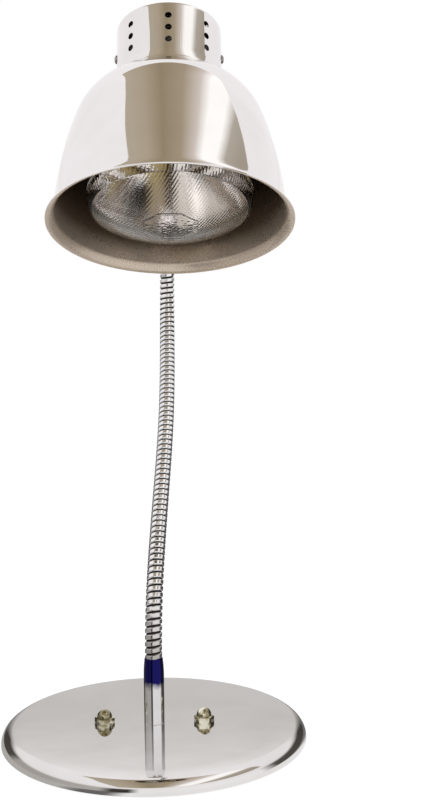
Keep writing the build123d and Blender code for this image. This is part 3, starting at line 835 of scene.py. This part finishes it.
def tangent_arc(start, start_heading, end, steps):
    """Points of the arc that leaves start along a heading in degrees and reaches end."""
    chord = hypot(end[0] - start[0], end[1] - start[1])
    swing = atan2(end[1] - start[1], end[0] - start[0]) - radians(start_heading)
    swing = (swing + pi) % tau - pi
    points = []
    for step in range(steps + 1):
        half = swing * step / steps
        reach = chord * sin(half) / sin(swing)
        turn = radians(start_heading) + half
        points.append((start[0] + reach * cos(turn), start[1] + reach * sin(turn)))
    return points


def offset_line(points, distance):
    """A section line moved to its left by a sheet's thickness."""
    moved = []
    for place, point in enumerate(points):
        before = points[max(place - 1, 0)]
        after = points[min(place + 1, len(points) - 1)]
        run, climb = after[0] - before[0], after[1] - before[1]
        size = hypot(run, climb)
        moved.append((point[0] - distance * climb / size, point[1] + distance * run / size))
    return moved


wall_center, wall_bow = circle_through(lip, belly, shoulder)
wall_start = heading(wall_center, lip)
wall_end = heading(wall_center, shoulder)
flare = tangent_arc(lip, wall_start - 90, (lip_radius, 0), 10)
wall_line = arc_points(wall_center, wall_bow, wall_start, wall_end, 28)
shoulder_line = tangent_arc(shoulder, wall_end + 90, corner_start, 22)
corner_line = tangent_arc(
    corner_start, 2 * heading(shoulder, corner_start) - wall_end - 90, (collar_radius, cap_base), 8)
outside = flare[::-1] + wall_line[1:] + shoulder_line[1:] + corner_line[1:]
outside += [(collar_radius, collar_top - collar_chamfer),
            (collar_radius - collar_chamfer, collar_top)]
inside = offset_line(outside, dome_sheet)
dome = spun("shade_dome_sheet", outside + inside[::-1], head, steps=224)
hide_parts("shade_dome")
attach(dome, "head")


def in_head(tree, place):
    """Object coordinates as they are in the head's seat."""
    return add_node(tree, "ShaderNodeMapping", {
        "Vector": place, "Location": tuple(head_origin), "Rotation": head.to_euler()},
        vector_type="TEXTURE")["Vector"]


def line_inside(piece, finish, seat):
    """Puts a second finish on the faces of a hollow piece that look towards the seat's axis."""
    piece.data.materials.append(finish)
    to_seat = seat.inverted()
    for face in piece.data.polygons:
        middle = to_seat @ face.center
        normal = to_seat.to_3x3() @ face.normal
        inwards = normal.x * middle.x + normal.y * middle.y < inward_slope * middle.xy.length
        face.material_index = 1 if inwards else 0


dome_steel = bright_metal("spun stainless", (86, 84, 83), (80, 78, 76), 0.025, 0.075, 700, 0.0003)
satin = bright_metal("satin stainless", (66, 55, 44), (60, 50, 40), 0.26, 0.36, 900, 0.00002)
satin_tree, satin_shader, satin_plain, satin_place = reopened(satin)
# Painted shade: the satin is coloured darker the deeper it lies inside the shade, round the bulb.
satin_height = axes(satin_tree, in_head(satin_tree, satin_place))["Z"]
satin_painted_shade = color_band(satin_tree, value_map(satin_tree, satin_height, 0.0, satin_depth), [
    (0, 100, 100, 100), (10, 95, 95, 95), (22, 70, 68, 65), (38, 33, 28, 23), (70, 20, 16, 12),
    (100, 10, 8, 7)])
feed(satin_tree, satin_shader, {
    "Base Color": mixed(satin_tree, 1.0, satin_plain, satin_painted_shade, blend_type="MULTIPLY"),
    "Metallic": 0.55})
wear_finish(dome, dome_steel)
line_inside(dome, satin, head)


# Cap
# A drawn stainless cup over the lampholder, polished outside and painted near-black inside as
# shade, with five columns of three vent holes: at the front, to either side of it, and two at
# the rear.
cap_sheet = 0.0008
cap_edge = 0.003
vent_radius = 0.0025
vent_pitch = 0.010
vent_drop = 0.0123
vent_rows = 3
vent_places_round = 8
front_place = 6.0
drill_length = 0.006
cap_edge_center = (cap_radius - cap_edge, cap_top - cap_edge)
cap_outline = [(0, cap_top), (cap_radius * 0.6, cap_top)]
cap_outline += arc_points(cap_edge_center, cap_edge, 90, 0, 10)
cap_outline += [(cap_radius, cap_base), (cap_radius - cap_sheet, cap_base)]
cap_outline += arc_points(cap_edge_center, cap_edge - cap_sheet, 0, 90, 8)
cap_outline += [(0, cap_top - cap_sheet)]
whole_cap = spun("whole_cap", cap_outline, steps=144)


def vector_of(tree, x=0.0, y=0.0, z=0.0):
    """A vector of three numbers."""
    return add_node(tree, "ShaderNodeCombineXYZ", {"X": x, "Y": y, "Z": z})[0]


def on_points(tree, points, mesh, way):
    """Copies of a mesh on points, each with its Z axis turned along its way."""
    aim = add_node(tree, "FunctionNodeAlignRotationToVector", {"Vector": way}, axis="Z")
    return add_node(tree, "GeometryNodeInstanceOnPoints", {
        "Points": points, "Instance": mesh, "Rotation": aim["Rotation"]})["Instances"]


drilling, drill_in = new_group("Vent Drilling", "GeometryNodeTree", {
    "Cup": "Geometry", "Cup Radius": cap_radius,
    "Top Row": cap_top - vent_drop, "Row Pitch": vent_pitch,
    "Rows": vent_rows, "Columns": vent_places_round,
    "Vent Radius": vent_radius, "Finish": "Material"}, {"Drilled": "Geometry"})
drill_math = partial(math_node, drilling)
drill_points = add_node(drilling, "GeometryNodePoints", {
    "Count": drill_math("MULTIPLY", drill_in["Rows"], drill_in["Columns"])})[0]
drill_index = add_node(drilling, "GeometryNodeInputIndex")[0]
drill_column = drill_math("MODULO", drill_index, drill_in["Columns"])
drill_row = drill_math("FLOOR", drill_math("DIVIDE", drill_index, drill_in["Columns"]))
drill_turn = drill_math("MULTIPLY", drill_column, drill_math(
    "DIVIDE", tau, drill_in["Columns"]))
drill_spot = vector_of(
    drilling,
    drill_math("MULTIPLY", drill_math("COSINE", drill_turn), drill_in["Cup Radius"]),
    drill_math("MULTIPLY", drill_math("SINE", drill_turn), drill_in["Cup Radius"]),
    drill_math("SUBTRACT", drill_in["Top Row"], drill_math(
        "MULTIPLY", drill_row, drill_in["Row Pitch"])))
drill_placed = add_node(drilling, "GeometryNodeSetPosition", {
    "Geometry": drill_points, "Position": drill_spot})["Geometry"]
drill_even = drill_math("COMPARE", drill_math("MODULO", drill_column, 2.0), 0.0, 0.1)
drill_front = drill_math("COMPARE", drill_column, front_place, 0.1)
drill_kept = add_node(drilling, "GeometryNodeDeleteGeometry", {
    "Geometry": drill_placed,
    "Selection": drill_math("SUBTRACT", drill_even, drill_front)})["Geometry"]
drill_bit = add_node(drilling, "GeometryNodeMeshCylinder", {
    "Vertices": 28, "Radius": drill_in["Vent Radius"], "Depth": drill_length})["Mesh"]
drill_way = vector_node(
    drilling, "MULTIPLY", add_node(drilling, "GeometryNodeInputPosition")[0], (1, 1, 0))
drill_solid = add_node(drilling, "GeometryNodeRealizeInstances", {
    "Geometry": on_points(drilling, drill_kept, drill_bit, drill_way)})["Geometry"]
drill_cut = add_node(drilling, "GeometryNodeMeshBoolean", {
    "Mesh 1": drill_in["Cup"], "Mesh 2": drill_solid}, operation="DIFFERENCE")["Mesh"]
end_group(drilling, "Drilled", drill_cut, drill_in["Finish"])

cap_steel = bright_metal("drawn stainless", (84, 82, 81), (78, 76, 74), 0.025, 0.07, 800, 0.00015)
cap = grown("vented_cap", whole_cap.data.copy(), drilling, {"Finish": cap_steel}, 32)
wear_finish(cap, cap_steel)
borrow_normals(cap, whole_cap)
bpy.data.objects.remove(whole_cap)
# Painted shade: the inside of the cup is coloured near-black.
cap_inside_shade = bright_metal("cap inside painted as shade", (3, 2.5, 2), (1.5, 1.2, 1), 0.4, 0.6, 600, 0.0001)
line_inside(cap, cap_inside_shade, Matrix.Identity(4))
cap.data.transform(head)
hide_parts("socket_cap")
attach(cap, "head")


# Screws of the head
# Chromed pan-head screws with a cross recess: two hold the cap to the strap, three hold it to
# the shade's collar, and two steel ones hold the lampholder under the strap.
def shifted(tree, mesh, **values):
    """A mesh, moved by its Translation or stretched by its Scale."""
    return add_node(tree, "GeometryNodeTransform", {"Geometry": mesh, **values})["Geometry"]


screws, screw_in = new_group("Pan Screws", "GeometryNodeTree", {
    "Seats": "Geometry", "Head Radius": 0.0034, "Head Height": 0.002,
    "Shank Radius": 0.002, "Shank Length": 0.005,
    "Finish": "Material"}, {"Screws": "Geometry"})
screw_math = partial(math_node, screws)
screw_flat = screw_math("DIVIDE", screw_in["Head Height"], screw_in["Head Radius"])
screw_ball = add_node(screws, "GeometryNodeMeshUVSphere", {
    "Segments": 32, "Rings": 16, "Radius": screw_in["Head Radius"]})["Mesh"]
screw_dome = shifted(screws, screw_ball, Scale=vector_of(screws, 1.0, 1.0, screw_flat))
screw_under = add_node(screws, "GeometryNodeMeshCube", {"Size": (0.02, 0.02, 0.01)})["Mesh"]
screw_arm = screw_math("MULTIPLY", screw_in["Head Radius"], 0.28)
screw_reach = screw_math("MULTIPLY", screw_in["Head Radius"], 1.15)
screw_deep = screw_math("MULTIPLY", screw_in["Head Height"], 1.3)
screw_cutters = [shifted(screws, screw_under, Translation=(0, 0, -0.005))]
for bar_width, bar_length in ((screw_arm, screw_reach), (screw_reach, screw_arm)):
    bar = add_node(screws, "GeometryNodeMeshCube", {
        "Size": vector_of(screws, bar_width, bar_length, screw_deep)})["Mesh"]
    bar_lift = vector_of(screws, z=screw_in["Head Height"])
    screw_cutters.append(shifted(screws, bar, Translation=bar_lift))
screw_head = add_node(screws, "GeometryNodeMeshBoolean", {
    "Mesh 1": screw_dome, "Mesh 2": screw_cutters}, operation="DIFFERENCE")["Mesh"]
screw_pin = add_node(screws, "GeometryNodeMeshCylinder", {
    "Vertices": 24, "Radius": screw_in["Shank Radius"], "Depth": screw_in["Shank Length"]})["Mesh"]
screw_drop = vector_of(screws, z=screw_math("MULTIPLY", screw_in["Shank Length"], -0.5))
screw_shank = shifted(screws, screw_pin, Translation=screw_drop)
screw_one = add_node(screws, "GeometryNodeJoinGeometry", {
    "Geometry": [screw_head, screw_shank]})["Geometry"]
screw_way = add_node(screws, "GeometryNodeInputNamedAttribute", {
    "Name": "outward"}, data_type="FLOAT_VECTOR")["Attribute"]
end_group(screws, "Screws", on_points(screws, screw_in["Seats"], screw_one, screw_way),
          screw_in["Finish"])


def screw_set(name, node, seats, body, values):
    """Screws at seats, each a (place, outward direction) pair."""
    points = bpy.data.meshes.new(name + "_seats")
    points.from_pydata([place for place, way in seats], [], [])
    ways = points.attributes.new("outward", "FLOAT_VECTOR", "POINT")
    ways.data.foreach_set("vector", [value for place, way in seats for value in way])
    made = grown(name, points, screws, values, 40)
    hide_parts(node)
    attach(made, body)


def wall_seat(angle, radius, height):
    """A place on a round wall of the head and the way out of it."""
    turn = radians(angle)
    way = head_side * cos(turn) + head_back * sin(turn)
    return head_origin + way * radius + head_up * height, way


cap_screw_height = cap_top - 0.0241
collar_screw_height = cap_base + 0.0026
strap_top = 0.1448
holder_screw_offset = 0.012
# The chrome of the cap and collar screws is given a dark colour.
screw_steel = bright_metal("dark-coloured chrome", (42, 40, 38), (24, 23, 22), 0.12, 0.28, 400, 0.0001)
screw_set(
    "cap_screw_pair", "cap_screws",
    [wall_seat(angle, cap_radius, cap_screw_height) for angle in (0, 180)],
    "head", {"Finish": screw_steel})
screw_set(
    "collar_screw_set", "collar_screws",
    [wall_seat(angle, collar_radius, collar_screw_height) for angle in (90, 30, 150)],
    "head", {
        "Head Radius": 0.0020, "Head Height": 0.0012, "Shank Radius": 0.0015,
        "Shank Length": 0.003, "Finish": screw_steel})
screw_set(
    "holder_screw_pair", "holder_screws",
    [(head_origin + head_side * side + head_up * strap_top, head_up)
     for side in (-holder_screw_offset, holder_screw_offset)],
    "head", {
        "Head Radius": 0.0037, "Head Height": 0.0024, "Shank Length": 0.0055, "Finish": zinc})


# Strap and lampholder
# A bent steel strap carries the porcelain lampholder, whose brass shell and spring contact take
# the bulb's base.
wear_finish(nodes["holder_strap"], zinc)
wear_finish(nodes["lampholder_body"], mottled(
    "glazed porcelain", (83, 80, 74), (88, 86, 82), 90.0,
    {"Roughness": 0.12, "Coat Weight": 0.5}, 4.0)[0])
bulb_brass = bright_metal("rolled brass", (78, 62, 33), (62, 47, 24), 0.18, 0.35, 600, 0.0001)
for brass_node in ("holder_shell", "centre_contact", "bulb_screw_shell", "bulb_skirt"):
    wear_finish(nodes[brass_node], bulb_brass)


# Bulb base
# A solder contact and black glass insulator; its shell and skirt are of the lampholder's brass.
solder = bright_metal("solder", (60, 60, 61), (42, 42, 43), 0.35, 0.55, 400, 0.0002)
wear_finish(nodes["bulb_contact"], solder)
wear_finish(nodes["bulb_insulator"], mottled(
    "black insulator glass", (1, 1, 1.2), (3, 3, 3.5), 300.0,
    {"Roughness": 0.15})[0])


# Bulb reflector
# A pressed glass bowl, silvered inside, so that it is a mirror seen through the lens. Its neck is
# left bare, and the lamp's heat has smoked it.
bulb_radius = 0.0605
bowl_rim = 0.024
bowl_top = 0.084
bowl_glass = 0.0025
throat_radius = 0.019
throat_top = 0.092
smoke_line = 0.0765
bowl_foot = (bulb_radius - 0.0006, bowl_rim)
bowl_waist = (0.044, bowl_rim + 0.0295)
bowl_neck = (0.021, bowl_top - 0.002)
bowl_middle, bowl_bow = circle_through(bowl_foot, bowl_waist, bowl_neck)
bowl_outside = arc_points(
    bowl_middle, bowl_bow, heading(bowl_middle, bowl_foot), heading(bowl_middle, bowl_neck), 40)
bowl_outside += [(throat_radius, bowl_top), (throat_radius, throat_top), (0, throat_top)]
bowl_inside = [(bulb_radius - 0.0031, bowl_rim)]
bowl_inside += offset_line(bowl_outside[:-2], bowl_glass)[1:]
bowl_inside += [(throat_radius - bowl_glass, throat_top - bowl_glass), (0, throat_top - bowl_glass)]
bowl = spun("silvered_bowl", bowl_outside + bowl_inside[::-1], head, 128)
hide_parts("bulb_reflector")
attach(bowl, "bulb")
wear_finish(bowl, bright_metal(
    "silvered bowl", (93, 92, 92), (88, 87, 87), 0.01, 0.03, 500, 0.0008))
bowl.data.materials.append(mottled(
    "bare smoked neck", (1.2, 1, 0.9), (5, 4.2, 3), 220.0, {"Roughness": 0.2})[0])
to_head = head.inverted()
for face in bowl.data.polygons:
    if (to_head @ face.center).z > smoke_line:
        face.material_index = 1


# Bulb lens
# Clear pressed glass with a smooth ring round it and rows of small cushions moulded inside, about
# a stippled middle with eight sides and a ridge round it.
ring_bottom = 0.016
lens_edge = bulb_radius - 0.002
lens_front = -0.005
lens_bulge = 0.0155
lens_glass = 0.003
lens_outside = tangent_arc((0, lens_front), 0, (lens_edge, lens_front + lens_bulge), 40)
lens_outside += [(bulb_radius, ring_bottom), (bulb_radius, bowl_rim)]
lens_inside = [(0, lens_front + lens_glass)] + offset_line(lens_outside, lens_glass)[1:-1]
lens_inside += [(bulb_radius - lens_glass, bowl_rim)]
lens = spun("pressed_lens", lens_outside + lens_inside[::-1], head, 128, 75)
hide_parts("bulb_lens")
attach(lens, "bulb")

eighth_turn = 0.7071
row_slant = 0.577
row_stretch = 1.1547
middle_reach = (0.0180, 0.0186)
ridge_reach = 0.0190
ridge_width = 0.0008
cushion_end = (0.0598, 0.0604)
rings_start = 0.042
pressed_depth = 0.00010
lens_clear, lens_tree, lens_shader, lens_place = new_finish("pressed clear glass")
lens_math = partial(math_node, lens_tree)
lens_seat = in_head(lens_tree, lens_place)
lens_axes = axes(lens_tree, lens_seat)
lens_across = lens_math("ABSOLUTE", lens_axes["X"])
lens_back = lens_math("ABSOLUTE", lens_axes["Y"])
lens_corner = lens_math("MULTIPLY", lens_math("ADD", lens_across, lens_back), eighth_turn)
lens_eight = lens_math("MAXIMUM", lens_math("MAXIMUM", lens_across, lens_back), lens_corner)
lens_radial = lens_math("SQRT", lens_math(
    "ADD", lens_math("POWER", lens_across, 2.0), lens_math("POWER", lens_back, 2.0)))
lens_slant = vector_of(
    lens_tree,
    lens_math("ADD", lens_axes["X"], lens_math("MULTIPLY", lens_axes["Y"], row_slant)),
    lens_math("MULTIPLY", lens_axes["Y"], row_stretch))
lens_cushions = add_node(lens_tree, "ShaderNodeTexVoronoi", {
    "Vector": lens_slant, "Scale": 390.0, "Randomness": 0.04}, voronoi_dimensions="2D")["Distance"]
lens_stipple = add_node(lens_tree, "ShaderNodeTexVoronoi", {
    "Vector": lens_seat, "Scale": 330.0, "Randomness": 0.9})["Distance"]
lens_field = add_node(lens_tree, "ShaderNodeMix", {
    "Factor": value_map(lens_tree, lens_eight, *middle_reach),
    "A": lens_stipple, "B": lens_cushions}, data_type="FLOAT")["Result"]
lens_ridge = value_map(
    lens_tree, lens_math("ABSOLUTE", lens_math("SUBTRACT", lens_eight, ridge_reach)),
    0.0, ridge_width, 1.2, 0.0)
lens_height = lens_math("ADD", lens_math(
    "MULTIPLY", lens_field, value_map(lens_tree, lens_radial, *cushion_end, 1.0, 0.0)), lens_ridge)
lens_tint = color_band(lens_tree, lens_field, [
    (10, 99, 98, 98), (70, 95, 94, 94)])
# Painted reflection: grey rings in the glass towards its edge stand in for the lines that the
# ring's glass draws.
lens_painted_rings = color_band(lens_tree, value_map(lens_tree, lens_radial, rings_start, bulb_radius), [
    (0, 100, 100, 100), (56, 88, 87, 87), (62, 100, 100, 100), (70, 68, 67, 67),
    (84, 100, 100, 100), (90, 62, 61, 61), (100, 86, 85, 85)])
feed(lens_tree, lens_shader, {
    "Base Color": mixed(lens_tree, 1.0, lens_tint, lens_painted_rings, blend_type="MULTIPLY"),
    "Normal": bump(lens_tree, lens_height, pressed_depth),
    "Transmission Weight": 1.0,
    "Roughness": 0.02,
    "IOR": 1.5,
    "Specular Tint": (0.12, 0.12, 0.12, 1)})
wear_finish(lens, lens_clear)


# Filament
# A coil of drawn tungsten across two posts, behind the lens.
tungsten = bright_metal("drawn tungsten", (38, 38, 39), (26, 26, 27), 0.3, 0.5, 600, 0.0001)
wear_finish(nodes["filament_posts"], tungsten)
wear_finish(nodes["bulb_filament"], tungsten)
